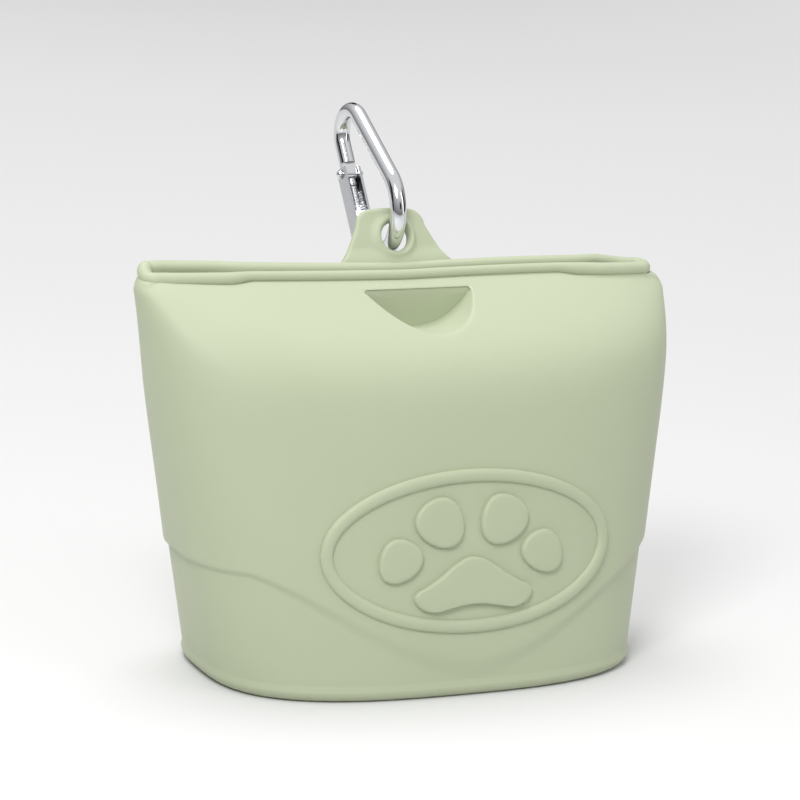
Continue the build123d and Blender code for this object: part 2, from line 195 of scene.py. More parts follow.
end_radius = 2.9 * MM
end_fullness = 0.45 * MM
back_roll_radius = 1.7 * MM
back_roll_growth = 0.25 * MM
lip_reach = 66 * MM
front_lift = 1.75 * MM
front_bow = 0.4 * MM
rear_step = 1.0 * MM
rear_lift = 2.6 * MM
rear_bow = 0.5 * MM
lift_power = 1.3
left_shift = 1.9 * MM


def mouth_path():
    """Centre line of the rolled edge, with the radius of the roll at each point."""
    base = ring(shell_top, 0, 2 * mouth_y, 1.0)
    x = base[:, 0] * (lip_half_width - front_bead_radius)
    left = np.clip(-x / lip_reach, 0, 1)
    right = np.clip(x / lip_reach, 0, 1)
    round_end = smooth(43 * MM, 50 * MM, np.abs(x))
    front_radius = front_bead_radius + end_fullness * round_end
    back_radius = back_roll_radius + back_roll_growth * left
    radius = np.where(is_rear, back_radius, front_radius)
    at_end = smooth(56 * MM, lip_reach, np.abs(x))
    radius = radius * (1 - at_end) + (front_bead_radius + end_fullness) * at_end
    offset = gap_half(x) + radius
    short = lip_half_width - front_bead_radius - np.abs(x)
    cap = np.sqrt(np.clip(end_radius**2 - np.clip(end_radius - short, 0, None) ** 2, 0, None))
    offset = np.minimum(offset, cap)
    y = mouth_y + np.where(is_rear, offset, -offset)
    front_rise = front_lift * left**lift_power + front_bow * np.sin(pi * right)
    rear_rise = rear_step + rear_lift * left**lift_power + rear_bow * np.sin(pi * right)
    rear_rise = rear_rise * (1 - smooth(56 * MM, 68 * MM, x))
    behind = np.clip((y - mouth_y) / (3.2 * MM) + 0.5, 0, 1)
    z = lip_top - radius + front_rise * (1 - behind) + rear_rise * behind
    x = x - left_shift * smooth(48 * MM, 69 * MM, -x)
    return np.stack([x, y, z], 1), radius


path, roll = mouth_path()
run = np.roll(path, -1, 0) - np.roll(path, 1, 0)
outward = np.stack([run[:, 1], -run[:, 0], np.zeros(AROUND)], 1)
outward /= np.linalg.norm(outward, axis=1)[:, None]


def roll_ring(degrees):
    """Ring of the rolled edge: 0 faces outwards, 90 up, 180 into the mouth."""
    turn = radians(degrees)
    return path + roll[:, None] * (cos(turn) * outward + np.array([0, 0, sin(turn)]))


# ---------------------------------------------------------------- thumb notch

notch_half = 15.8 * MM
notch_top = 95.6 * MM
notch_fall = 8.6 * MM
notch_back_y = 11.3 * MM
notch_slope = tan(radians(7))
notch_round = 0.7 * MM
notch_margin = 3.5 * MM
notch_depth_least = 0.15 * MM
notch_middle_share = 0.45


def surface_y(x, z):
    """Front wall's place at a point of its front view."""
    width = half_width(z)
    middle = mouth_y * z / shell_top
    size = np.clip(1 - np.abs(x / width) ** front_squareness, 0, 1) ** (1 / front_squareness)
    return middle - (middle - front_y(z)) * size


def notch_outline(count, shrink=0.0):
    """Half-moon outline (x, z), evenly spaced, from its right corner round the lower arc and back."""
    half, fall = notch_half - shrink, notch_fall - 2 * shrink
    radius = (half**2 + fall**2) / (2 * fall)
    middle = notch_top - shrink - fall + radius
    spread = np.arcsin(half / radius)
    arc_length, top_length = 2 * spread * radius, 2 * half
    arc_count = round(count * arc_length / (arc_length + top_length))
    turn = np.linspace(spread, -spread, arc_count, endpoint=False)
    arc = np.stack([radius * np.sin(turn), middle - radius * np.cos(turn)], 1)
    across = np.linspace(-half, half, count - arc_count, endpoint=False)
    return np.concatenate([arc, np.stack([across, np.full(len(across), notch_top - shrink)], 1)])


# ---------------------------------------------------------------- mesh helpers

def new_mesh(name, points, faces, smooth_angle=50):
    """Object from points and faces, shaded smooth below an angle."""
    data = bpy.data.meshes.new(name)
    data.from_pydata([tuple(p) for p in points], [], [tuple(int(i) for i in f) for f in faces])
    data.update()
    obj = bpy.data.objects.new(name, data)
    bpy.context.scene.collection.objects.link(obj)
    data.polygons.foreach_set("use_smooth", [True] * len(data.polygons))
    data.set_sharp_from_angle(angle=radians(smooth_angle))
    return obj


def rings_to_mesh(rings, close_ends=True):
    """Points and quads that join rings of the same length, with a fan at each end."""
    count = len(rings[0])
    points = list(np.concatenate(rings))
    faces = []
    for level in range(len(rings) - 1):
        low, high = level * count, (level + 1) * count
        for i in range(count):
            j = (i + 1) % count
            faces.append((low + i, low + j, high + j, high + i))
    if close_ends:
        for level, flip in ((0, True), (len(rings) - 1, False)):
            middle = len(points)
            points.append(rings[level].mean(0))
            for i in range(count):
                j = (i + 1) % count
                a, b = level * count + i, level * count + j
                faces.append((b, a, middle) if flip else (a, b, middle))
    return points, faces


def tube_faces(sections):
    """Quads that join rings of the same length, the last to the first, into a closed tube."""
    count = len(sections[0])
    faces = []
    for s in range(len(sections)):
        low, high = s * count, ((s + 1) % len(sections)) * count
        faces += [(low + i, low + (i + 1) % count, high + (i + 1) % count, high + i) for i in range(count)]
    return faces


def set_weights(obj):
    """Bakes obj's placement into its mesh; no weights are set, so obj does not bend."""
    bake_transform(obj)


# ---------------------------------------------------------------- silicone skin

corner_lift = 3.6 * MM
recess_depth = 1.1 * MM
rail_thinning = 0.85

def skin_rings():
    """Rings from the base's middle, up the outside, over the rolled edge and down the inside."""
    rings = []
    base_ring = wall_ring(0.0, inset=base_edge)
    for share in np.linspace(0.06, 1, 12):
        rings.append(base_ring * share)
    for turn in np.linspace(0, 90, 7)[1:]:
        rise = base_edge * (1 - cos(radians(turn)))
        inset = base_edge * (1 - sin(radians(turn)))
        rings.append(wall_ring(rise, inset=inset))
    heights = list(np.arange(4 * MM, 42 * MM, 0.55 * MM)) + list(np.arange(42 * MM, front_straight, 1.4 * MM))
    wall_start = len(rings)
    for z in heights:
        rings.append(wall_ring(z))
    crease = roll_ring(-38)
    for t in np.linspace(0.03, 1, 44)[:-1]:
        z = float(shoulder(t)[1])
        if z <= heights[-1] + 0.6 * MM:
            continue
        base = wall_ring(z)
        reach = smooth(86 * MM, shell_top + 0.4 * MM, z)
        middle = mouth_y * z / shell_top
        ends = smooth(40 * MM, lip_reach, np.abs(base[:, 0]))
        target = middle + crease[:, 1] - mouth_y
        pulled = base.copy()
        strength = ends * reach
        wide = np.abs(target - middle) > np.abs(base[:, 1] - middle)
        pulled[:, 1] = np.where(wide, base[:, 1] * (1 - strength) + target * strength, base[:, 1])
        corner = np.clip(-base[:, 0] / (70 * MM), 0, 1) ** 2.2
        pulled[:, 2] += corner_lift * corner * smooth(70 * MM, 93 * MM, z)
        last = smooth(0.9, 1.0, t)
        pulled = pulled * (1 - last) + crease * last
        rings.append(pulled)
    wall_end = len(rings)
    for degrees in list(range(-38, 181, 15)) + [190]:
        rings.append(roll_ring(degrees))
    rail_top_ring = roll_ring(190)
    side = np.where(is_rear, 1, -1)
    open_share = (gap_half(path[:, 0]) - lip_gap / 2) / OPEN_LEFT
    ends = np.clip((lip_half_width - front_bead_radius - np.abs(path[:, 0])) / (6 * MM), 0, 1)
    past_magnets = smooth(51.5 * MM, 57 * MM, np.abs(path[:, 0]))
    for share in np.linspace(0, 1, 7)[1:]:
        level = rail_top_ring.copy()
        level[:, 2] = rail_top_ring[:, 2] * (1 - share) + rail_bottom * share
        level[:, 1] += side * open_share * ends * past_magnets * recess_depth * smooth(0, 0.3, share)
        rings.append(level)
    thick = rings[-1].copy()
    thick[:, 1] += side * rail_thickness * ends * (1 - rail_thinning * past_magnets)
    rings.append(thick)
    # The ceiling behind the front lip drops below the thumb notch
    clear = smooth(17.5 * MM, 24 * MM, np.abs(thick[:, 0]))
    ceiling = (notch_top - notch_fall - 4.6 * MM) * (1 - clear) + (ceiling_z - 1.2 * MM) * clear
    up = thick.copy()
    up[:, 2] = np.where(is_rear, rail_bottom, rail_bottom + (ceiling - rail_bottom) * ends)
    rings.append(up)
    edge_z = np.where(is_rear, rail_bottom - 1.5 * MM, ceiling)
    inner_edge = np.array([wall_point(i, edge_z[i], -wall) for i in range(AROUND)])
    for share in (0.35, 0.7, 1.0):
        rings.append(up * (1 - share) + inner_edge * share)
    top = rings[-1].copy()
    floor = wall_ring(floor_wall + 2 * MM, grow=-wall)
    for share in np.linspace(0, 1, 34)[1:]:
        z = top[:, 2] * (1 - share) + floor[:, 2] * share
        level = np.array([wall_point(i, z[i], -wall) for i in range(AROUND)])
        rings.append(level)
    for share in np.linspace(1, 0.06, 12)[1:]:
        level = floor * np.array([share, share, 1])
        level[:, 2] = floor_wall
        rings.append(level)
    return rings, wall_start, wall_end


def wall_point(index, z, grow):
    """Point of the wall's cross-section at a height, for one of the angles round it."""
    c, s = cos(angles[index]), sin(angles[index])
    power = rear_squareness if s > 0 else front_squareness
    size = (abs(c) ** power + abs(s) ** power) ** (-1 / power)
    middle = mouth_y * z / shell_top
    reach = float(rear_y(z)) + grow - middle if s > 0 else middle - float(front_y(z)) + grow
    return ((float(half_width(z)) + grow) * c * size, middle + reach * s * size, z)


def ring_normals(rings):
    """Outward normals of the skin at each ring point."""
    grid = np.array(rings)
    along = np.gradient(grid, axis=0)
    around = np.roll(grid, -1, 1) - np.roll(grid, 1, 1)
    normal = np.cross(around, along)
    return normal / np.maximum(np.linalg.norm(normal, axis=2), 1e-12)[:, :, None]


def add_step(rings, first, last):
    """Moves the outer wall in below the soft step and out above it."""
    normals = ring_normals(rings[first:last])
    for index in range(first, last):
        level = rings[index]
        above = step_share(level[:, 0], level[:, 2], np.where(is_rear, 0.0, 1.0))
        fade = 1 - smooth(60 * MM, 92 * MM, level[:, 2])
        shift = (above - 0.5) * STEP
        shift = np.where(level[:, 2] > 50 * MM, shift * fade, shift)
        rings[index] = level + normals[index - first] * shift[:, None]


rings, wall_start, wall_end = skin_rings()
add_step(rings, wall_start, wall_end)
skin_points, skin_faces = rings_to_mesh(rings)


def cut_notch(points, faces):
    """Replaces the skin round the thumb notch with rings that run from its outline to the skin."""
    grid = np.array(points[: len(rings) * AROUND]).reshape(len(rings), AROUND, 3)
    centre = 3 * AROUND // 4
    lowest = notch_top - notch_fall - notch_margin
    rows = [i for i in range(wall_start, wall_end) if grid[i, centre, 2] > lowest]
    row_low = rows[0]
    row_high = max(i for i in rows if grid[i, centre, 2] < notch_top + 0.9 * MM)
    reach = max(k for k in range(60) if grid[row_low, centre + k, 0] < notch_half + notch_margin) + 1
    columns = range(centre - reach, centre + reach + 1)
    removed = {(i, j) for i in range(row_low, row_high) for j in columns[:-1]}
    quads = (len(rings) - 1) * AROUND
    kept = [f for n, f in enumerate(faces) if n >= quads or divmod(n, AROUND) not in removed]
    border = [(row_low, j) for j in columns]
    border += [(i, columns[-1]) for i in range(row_low + 1, row_high + 1)]
    border += [(row_high, j) for j in reversed(columns[:-1])]
    border += [(i, columns[0]) for i in range(row_high - 1, row_low, -1)]
    border_ids = [i * AROUND + j for i, j in border]
    edge = np.array([points[n] for n in border_ids])
    middle = np.array([0.0, notch_top - notch_fall * notch_middle_share])
    count = len(border_ids)

    def match(shrink):
        """Outline points in the same directions from the notch's middle as the border's."""
        dense = notch_outline(1200, shrink)
        angle_dense = np.arctan2(dense[:, 1] - middle[1], dense[:, 0] - middle[0])
        order = np.argsort(angle_dense)
        want = np.arctan2(edge[:, 2] - middle[1], edge[:, 0] - middle[0])
        x = np.interp(want, angle_dense[order], dense[order, 0], period=2 * pi)
        z = np.interp(want, angle_dense[order], dense[order, 1], period=2 * pi)
        return np.stack([x, z], 1)

    outline = match(-notch_round * 0.5)
    levels = []
    for share in (0.75, 0.5, 0.28, 0.12):
        flat = outline * (1 - share) + edge[:, [0, 2]] * share
        y = surface_y(flat[:, 0], flat[:, 1])
        outer_y = surface_y(edge[:, 0], edge[:, 2])
        y = y + (edge[:, 1] - outer_y) * share
        levels.append(np.stack([flat[:, 0], y, flat[:, 1]], 1))

    def inside(shrink, turn):
        """Ring on the rounded edge: turn 0 is the skin, 90 the notch's wall."""
        flat = match(shrink)
        y = surface_y(flat[:, 0], flat[:, 1]) + notch_round * (1 - cos(radians(turn)))
        return np.stack([flat[:, 0], y, flat[:, 1]], 1)

    for turn in (0, 25, 50, 75, 90):
        levels.append(inside(notch_round * sin(radians(turn)) - notch_round * 0.5, turn))
    wall_line = levels[-1]
    for share in (0.12, 0.3, 0.5, 0.7, 0.88, 1.0):
        back = wall_line.copy()
        depth = np.clip(notch_back_y - wall_line[:, 1], notch_depth_least, None)
        below_top = smooth(notch_top - 0.3 * MM, notch_top - 2 * MM, wall_line[:, 2])
        back[:, 1] += depth * share
        back[:, 2] -= depth * share * notch_slope * below_top
        levels.append(back)
    last = levels[-1]
    hub = np.array([0.0, notch_back_y + notch_depth_least, middle[1]])
    for share in (0.96, 0.85, 0.6, 0.35, 0.15):
        step = last * share + hub * (1 - share)
        step[:, 1] = last[:, 1] * share**4 + hub[1] * (1 - share**4)
        levels.append(step)
    points = list(points)
    previous = border_ids
    for level in levels:
        ids = list(range(len(points), len(points) + count))
        points.extend(level)
        for n in range(count):
            m = (n + 1) % count
            kept.append((previous[n], previous[m], ids[m], ids[n]))
        previous = ids
    points.append(hub)
    for n in range(count):
        kept.append((previous[n], previous[(n + 1) % count], len(points) - 1))
    return points, kept


skin_points, skin_faces = cut_notch(skin_points, skin_faces)
skin = new_mesh("silicone_pouch", skin_points, skin_faces, 60)
set_weights(skin)
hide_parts("pouch_body", "front_wall_panel", "front_rolled_lip", "rear_rolled_lip")

# ---------------------------------------------------------------- raised emblem

ring_low, ring_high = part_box("emblem_ring")
emblem_x = (ring_low.x + ring_high.x) / 2
emblem_z = (ring_low.z + ring_high.z) / 2
ring_half_x = (ring_high.x - ring_low.x) / 2
ring_half_z = (ring_high.z - ring_low.z) / 2
ring_band = 3.3 * MM
band_height = 1.25 * MM
band_sink = 0.05 * MM
band_root_share = 0.42
band_root_depth = 0.9 * MM
pad_height = 1.4 * MM


def outer_wall(x, z):
    """Point and normal of the outer wall, its step included, at a place of the front view."""
    def place(px, pz):
        return surface_y(px, pz) - (step_share(px, pz) - 0.5) * STEP
    small = 0.2 * MM
    y = place(x, z)
    plain = surface_y(x, z)
    across = (surface_y(x + small, z) - plain) / small
    up = (surface_y(x, z + small) - plain) / small
    normal = np.stack([across, -np.ones_like(across), up], -1)
    normal /= np.linalg.norm(normal, axis=-1)[..., None]
    return np.stack([x, y, z], -1), normal


def raise_points(flat, height):
    """Points at a height above the wall, from front-view points about the emblem's middle."""
    place, normal = outer_wall(emblem_x + flat[:, 0], emblem_z + flat[:, 1])
    return place + normal * height


def raised_ring():
    """Half-round band round the emblem."""
    turns = 2 * pi * np.arange(320) / 320
    a, b = ring_half_x - ring_band / 2, ring_half_z - ring_band / 2
    line = np.stack([a * np.cos(turns), b * np.sin(turns)], 1)
    normal = np.stack([b * np.cos(turns), a * np.sin(turns)], 1)
    normal /= np.linalg.norm(normal, axis=1)[:, None]
    sections = []
    for turn in np.linspace(0, 180, 13):
        side = -cos(radians(turn)) * ring_band / 2
        height = sin(radians(turn)) ** 0.8 * band_height - band_sink
        sections.append(raise_points(line + normal * side, height))
    root = normal * ring_band * band_root_share
    sections.append(raise_points(line + root, -band_root_depth))
    sections.append(raise_points(line - root, -band_root_depth))
    return new_mesh("raised_ring", np.concatenate(sections), tube_faces(sections), 60)


# Rounded edge of a pad: how far in from its outline, in mm, and the share of its height
pad_profile = ((0, -0.8), (0, 0.25), (0.05, 0.5), (0.18, 0.72), (0.4, 0.88), (0.75, 0.97), (1.3, 1.0))


def raised_pad(name, outline, height):
    """Flat-topped pad with a rounded edge, from its outline in the front view."""
    centre = outline.mean(0)
    size = np.linalg.norm(outline - centre, axis=1).mean()
    sections = []
    for inset, rise in pad_profile:
        share = 1 - inset * MM / size
        sections.append(raise_points(centre + (outline - centre) * share, rise * height))
    for share in (0.6, 0.35, 0.12):
        sections.append(raise_points(centre + (outline - centre) * share, height * 1.03))
    points, faces = rings_to_mesh(sections)
    return new_mesh(name, points, faces, 75)


def egg(across, up, half_across, half_up, lean, narrow):
    """Egg-shaped outline, narrower at its top, leaning by an angle in degrees."""
    turns = 2 * pi * np.arange(96) / 96
    z = half_up * np.sin(turns)
    x = half_across * np.cos(turns) * (1 - narrow * np.sin(turns))
    c, s = cos(radians(lean)), sin(radians(lean))
    return np.stack([across + c * x - s * z, up + s * x + c * z], 1)


def closed_curve(corners, per_side=14):
    """Smooth closed curve through a few corners."""
    corners = np.array(corners, float)
    points = []
    for i in range(len(corners)):
        p0, p1, p2, p3 = (corners[(i + k - 1) % len(corners)] for k in range(4))
        for t in np.arange(per_side) / per_side:
            a = 2 * p1 + (p2 - p0) * t
            b = (2 * p0 - 5 * p1 + 4 * p2 - p3) * t**2
            points.append((a + b + (3 * p1 - p0 - 3 * p2 + p3) * t**3) / 2)
    return np.array(points)


emblem_pieces = [raised_ring()]
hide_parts("emblem_ring")
for name, size in {
    "outer_left_toe_pad": (-20.4, -1.2, 6.1, 5.3, 26, 0.22),
    "inner_left_toe_pad": (-8.8, 7.6, 6.8, 6.2, -24, 0.2),
    "inner_right_toe_pad": (8.8, 7.6, 6.8, 6.2, 24, 0.2),
    "outer_right_toe_pad": (20.2, -1.2, 6.1, 5.3, -26, 0.22),
}.items():
    across, up, half_across, half_up, lean, narrow = size
    outline = egg(across * MM, up * MM, half_across * MM, half_up * MM, lean, narrow)
    pad = raised_pad("raised_" + name, outline, pad_height)
    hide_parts(name)
    emblem_pieces.append(pad)
right_side = [(2.6, -1.9), (5.6, -3.4), (9.6, -6.2), (13.4, -8.3), (15.6, -9.2), (16.7, -10.6)]
right_side += [(16.2, -12.3), (14.2, -13.9), (11.2, -14.6), (7.2, -14.0), (3.4, -13.3)]
left_side = [(-x, z) for x, z in right_side[::-1]]
main_outline = closed_curve([(0, -1.4), *right_side, (0, -13.1), *left_side], 10) * MM
main_pad = raised_pad("raised_main_pad", main_outline[::-1], pad_height)
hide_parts("main_paw_pad")
emblem_pieces.append(main_pad)
for piece in emblem_pieces:
    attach(piece, "pouch")

# ---------------------------------------------------------------- tab

hole = np.array(hinges["hook_swing"]["pos_m"])
hole_axis = np.array(hinges["hook_swing"]["axis"])
tab_root = np.array(hinges["tab_flex"]["pos_m"])
tab_up = np.array([0, hole_axis[2], -hole_axis[1]])
tab_top = float(np.dot(np.array([0, tab_high.y, tab_high.z]) - tab_root, tab_up)) - 0.4 * MM
hole_height = float(np.dot(hole - tab_root, tab_up))
hole_radius = 3.75 * MM
root_drop = -3.2 * MM
tab_root_half = 14.6 * MM
tab_neck_half = 7.9 * MM
tab_neck_height = 13.7 * MM
tab_flare = 4.8 * MM
tab_half_thickness = 1.25 * MM
rim_swell = 0.5 * MM
root_swell = 0.4 * MM
dish_depth = 0.45 * MM
rim_width = 0.8 * MM


def tab_half_width(height):
    """Half the tab's width at a height above its root, flaring into the lip."""
    straight = tab_root_half - (tab_root_half - tab_neck_half) * height / tab_neck_height
    flare = tab_flare * np.exp(-np.clip(height + 2.4 * MM, 0, None) / (1.7 * MM))
    return straight + flare


def tab_outline(count):
    """Outline (x, height) of the tab, anticlockwise from the middle of its root."""
    corner = 4.4 * MM
    points = [(x, root_drop) for x in np.linspace(0, tab_half_width(root_drop), 12)]
    points += [(tab_half_width(h), h) for h in np.linspace(root_drop, tab_top - corner, 26)[1:]]
    last = points[-1]
    for turn in np.linspace(0, 90, 10)[1:]:
        x = last[0] - corner * (1 - cos(radians(turn))) * 1.05
        points.append((x, last[1] + corner * sin(radians(turn))))
    edge = points[-1]
    points += [(x, edge[1] + 0.25 * MM * (1 - (x / edge[0]) ** 2)) for x in np.linspace(edge[0], 0, 8)[1:]]
    points += [(-x, h) for x, h in points[-2:0:-1]]
    line = np.array(points)
    closed = np.concatenate([line, line[:1]])
    length = np.concatenate([[0], np.cumsum(np.linalg.norm(np.diff(closed, axis=0), axis=1))])
    want = np.linspace(0, length[-1], count, endpoint=False)
    return np.stack([np.interp(want, length, closed[:, 0]), np.interp(want, length, closed[:, 1])], 1)


def tab_thickness(flat):
    """Half thickness of the tab: dished beside the hole, thick round it and at its root."""
    radius = np.hypot(flat[:, 0], flat[:, 1] - hole_height)
    rim = np.exp(-(((radius - 4.9 * MM) / (0.75 * MM)) ** 2))
    root = 1 - smooth(-1.5 * MM, 4.5 * MM, flat[:, 1])
    dish = smooth(1.5 * MM, 5.0 * MM, np.abs(flat[:, 0])) * smooth(0.5 * MM, 4.0 * MM, flat[:, 1])
    dish = dish * smooth(0.0, 1.6 * MM, radius - 5.2 * MM)
    return tab_half_thickness + rim_swell * rim + root_swell * root - dish_depth * dish


def make_tab():
    """Tab with rounded edges and a rimmed hole."""
    count = 200
    outline = tab_outline(count)
    centre = np.array([0.0, hole_height])
    want = np.arctan2(outline[:, 1] - centre[1], outline[:, 0])
    inner = np.stack([np.cos(want), np.sin(want)], 1)
    edge_round = 0.95 * MM
    inward = centre - outline
    inward /= np.linalg.norm(inward, axis=1)[:, None]
    sections = []

    def layer(flat, share):
        """Points at a share of the tab's half thickness in front of (+) or behind (-) its middle."""
        radius = np.hypot(flat[:, 0], flat[:, 1] - hole_height)
        x = flat[:, :1] - 0.7 * MM * smooth(4.5 * MM, 7.5 * MM, radius)[:, None]
        place = tab_root + x * np.array([1, 0, 0]) + flat[:, 1:] * tab_up
        return place + (tab_thickness(flat) * share)[:, None] * hole_axis

    shares = (0.97, 0.9, 0.8, 0.68, 0.55, 0.42, 0.3, 0.2, 0.12, 0.05)
    rim_line = centre + inner * (hole_radius + rim_width)
    shoulder_line = outline + inward * edge_round
    front = [shoulder_line * s + rim_line * (1 - s) for s in shares]
    sections += [layer(flat, 1) for flat in front]
    for turn in (0, 30, 60, 90, 120, 150, 180):
        radius = hole_radius + rim_width * (1 - sin(radians(turn)))
        sections.append(layer(centre + inner * radius, cos(radians(turn))))
    sections += [layer(flat, -1) for flat in front[::-1]]
    for turn in (180, 150, 120, 90, 60, 30, 0):
        flat = shoulder_line - inward * edge_round * sin(radians(turn))
        sections.append(layer(flat, cos(radians(turn))))
    return np.concatenate(sections), tube_faces(sections)


tab_points, tab_faces = make_tab()
tab = new_mesh("silicone_tab", tab_points, tab_faces, 60)
set_weights(tab)
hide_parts("hang_tab")

# ---------------------------------------------------------------- magnets in the front lip

magnet_chamfer = 0.3 * MM


def front_magnet(index):
    """Chamfered bar in the front magnet's place inside the front lip."""
    node = f"front_magnet_{index}"
    low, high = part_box(node)
    edge = magnet_chamfer
    corners = [(low.y, low.z + edge), (low.y, high.z - edge), (low.y + edge, high.z)]
    corners += [(high.y - edge, high.z), (high.y, high.z - edge), (high.y, low.z + edge)]
    corners += [(high.y - edge, low.z), (low.y + edge, low.z)]
    bar_rings = [np.array([(x, y, z) for y, z in corners]) for x in np.linspace(low.x, high.x, 13)]
    bar_points, bar_faces = rings_to_mesh(bar_rings)
    magnet = new_mesh(f"front_magnet_bar_{index}", bar_points, bar_faces, 30)
    set_weights(magnet)
    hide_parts(node)
    return magnet


front_magnets = [front_magnet(index) for index in (1, 2, 3)]

# ---------------------------------------------------------------- coil spring in the gate

spring_low, spring_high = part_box("gate_spring")
pivot = np.array(hinges["gate_open"]["pos_m"])
spring_length = 6.0 * MM
spring_radius = 1.05 * MM
spring_wire = 0.17 * MM


def coil():
    """Round-wire coil where the gate's spring sits."""
    middle = np.array((spring_low + spring_high) / 2)
    axis = pivot - middle
    axis[0] = 0
    axis /= np.linalg.norm(axis)
    side = np.array([1.0, 0, 0])
    other = np.cross(axis, side)
    turns, per_turn = 8, 20
    steps = turns * per_turn
    sections = []
    for n in range(steps + 1):
        turn = 2 * pi * n / per_turn
        out = side * cos(turn) + other * sin(turn)
        spot = middle - axis * spring_length / 2 + axis * spring_length * n / steps + out * spring_radius
        ahead = -side * sin(turn) + other * cos(turn)
        up = np.cross(out, ahead)
        ring_turns = 2 * pi * np.arange(8) / 8
        sections.append(np.array([spot + spring_wire * (out * cos(a) + up * sin(a)) for a in ring_turns]))
    points, faces = rings_to_mesh(sections)
    return new_mesh("coil_spring", points, faces, 60)


spring = coil()
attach(spring, "gate")
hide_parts("gate_spring")

# ---------------------------------------------------------------- materials

def shader(name, colour, roughness, metallic=0.0):
    """Material with its shader's main values set, and its node tree."""
    material = bpy.data.materials.new(name)
    material.use_nodes = True
    tree = material.node_tree
    surface = tree.nodes["Principled BSDF"]
    surface.inputs["Base Color"].default_value = (*colour, 1)
    surface.inputs["Roughness"].default_value = roughness
    surface.inputs["Metallic"].default_value = metallic
    return material, tree, surface


def noise(tree, scale, detail, coordinates, name):
    """Noise texture in object space."""
    node = tree.nodes.new("ShaderNodeTexNoise")
    node.name = name
    node.inputs["Scale"].default_value = scale
    node.inputs["Detail"].default_value = detail
    tree.links.new(coordinates.outputs["Object"], node.inputs["Vector"])
    return node


def map_range(tree, source, low, high, to_low, to_high):
    """Maps one range of values to another."""
    node = tree.nodes.new("ShaderNodeMapRange")
    node.inputs["From Min"].default_value = low
    node.inputs["From Max"].default_value = high
    node.inputs["To Min"].default_value = to_low
    node.inputs["To Max"].default_value = to_high
    tree.links.new(source, node.inputs["Value"])
    return node


def silicone_material():
    """Matte moulded silicone: fine spark-eroded grain, faint mottling and a soft satin sheen."""
    material, tree, surface = shader("matte_sage_silicone", (0.435, 0.482, 0.333), 0.52)
    place = tree.nodes.new("ShaderNodeTexCoord")
    mottle = noise(tree, 28, 3, place, "mottling")
    tint = tree.nodes.new("ShaderNodeMix")
    tint.data_type = "RGBA"
    tint.inputs["A"].default_value = (0.424, 0.470, 0.322, 1)
    tint.inputs["B"].default_value = (0.448, 0.496, 0.343, 1)
    tree.links.new(mottle.outputs["Fac"], tint.inputs["Factor"])
    tree.links.new(tint.outputs["Result"], surface.inputs["Base Color"])
    grain = noise(tree, 5200, 4, place, "moulded grain")
    rough = map_range(tree, grain.outputs["Fac"], 0.3, 0.7, 0.46, 0.60)
    tree.links.new(rough.outputs["Result"], surface.inputs["Roughness"])
    bump = tree.nodes.new("ShaderNodeBump")
    bump.inputs["Strength"].default_value = 0.12
    bump.inputs["Distance"].default_value = 0.00004
    tree.links.new(grain.outputs["Fac"], bump.inputs["Height"])
    tree.links.new(bump.outputs["Normal"], surface.inputs["Normal"])
    surface.inputs["Specular IOR Level"].default_value = 0.42
    surface.inputs["Subsurface Weight"].default_value = 0.12
    surface.inputs["Subsurface Radius"].default_value = (0.9, 1.0, 0.55)
    surface.inputs["Subsurface Scale"].default_value = 0.0018
    surface.inputs["Sheen Weight"].default_value = 0.12
    surface.inputs["Sheen Roughness"].default_value = 0.5
    return material


def metal_material(name, colour, low_rough, high_rough, grain_scale, depth):
    """Plated or plain metal with fine polishing marks."""
    material, tree, surface = shader(name, colour, low_rough, 1.0)
    place = tree.nodes.new("ShaderNodeTexCoord")
    marks = noise(tree, grain_scale, 4, place, "polishing marks")
    rough = map_range(tree, marks.outputs["Fac"], 0.3, 0.7, low_rough, high_rough)
    tree.links.new(rough.outputs["Result"], surface.inputs["Roughness"])
    bump = tree.nodes.new("ShaderNodeBump")
    bump.inputs["Strength"].default_value = 0.15
    bump.inputs["Distance"].default_value = depth
    tree.links.new(marks.outputs["Fac"], bump.inputs["Height"])
    tree.links.new(bump.outputs["Normal"], surface.inputs["Normal"])
    return material


silicone = silicone_material()
chrome = metal_material("polished_chrome", (0.72, 0.73, 0.75), 0.05, 0.12, 420, 0.00003)
sheet_steel = metal_material("plated_sheet_steel", (0.52, 0.53, 0.55), 0.12, 0.24, 900, 0.00002)
magnet_steel = metal_material("nickel_magnet", (0.55, 0.55, 0.56), 0.22, 0.38, 1500, 0.00003)
spring_steel = metal_material("spring_wire_steel", (0.62, 0.62, 0.64), 0.18, 0.3, 2600, 0.00002)


def paint(obj, material, smooth_angle=None):
    """Gives an object one material, and smooth shading below an angle if one is given."""
    obj.data.materials.clear()
    obj.data.materials.append(material)
    if smooth_angle:
        obj.data.polygons.foreach_set("use_smooth", [True] * len(obj.data.polygons))
        obj.data.set_sharp_from_angle(angle=radians(smooth_angle))


for piece in (skin, tab, *emblem_pieces):
    paint(piece, silicone)
for magnet in front_magnets:
    paint(magnet, magnet_steel)
for node in ("rear_magnet_1", "rear_magnet_2", "rear_magnet_3"):
    paint(frame["nodes"][node], magnet_steel)
for node in ("hook_frame", "gate_rivet"):
    paint(frame["nodes"][node], chrome, 35)
paint(frame["nodes"]["gate_channel"], sheet_steel, 35)
paint(frame["nodes"]["spring_plug"], spring_steel, 35)
paint(spring, spring_steel)

# ---------------------------------------------------------------- floor, lights and camera

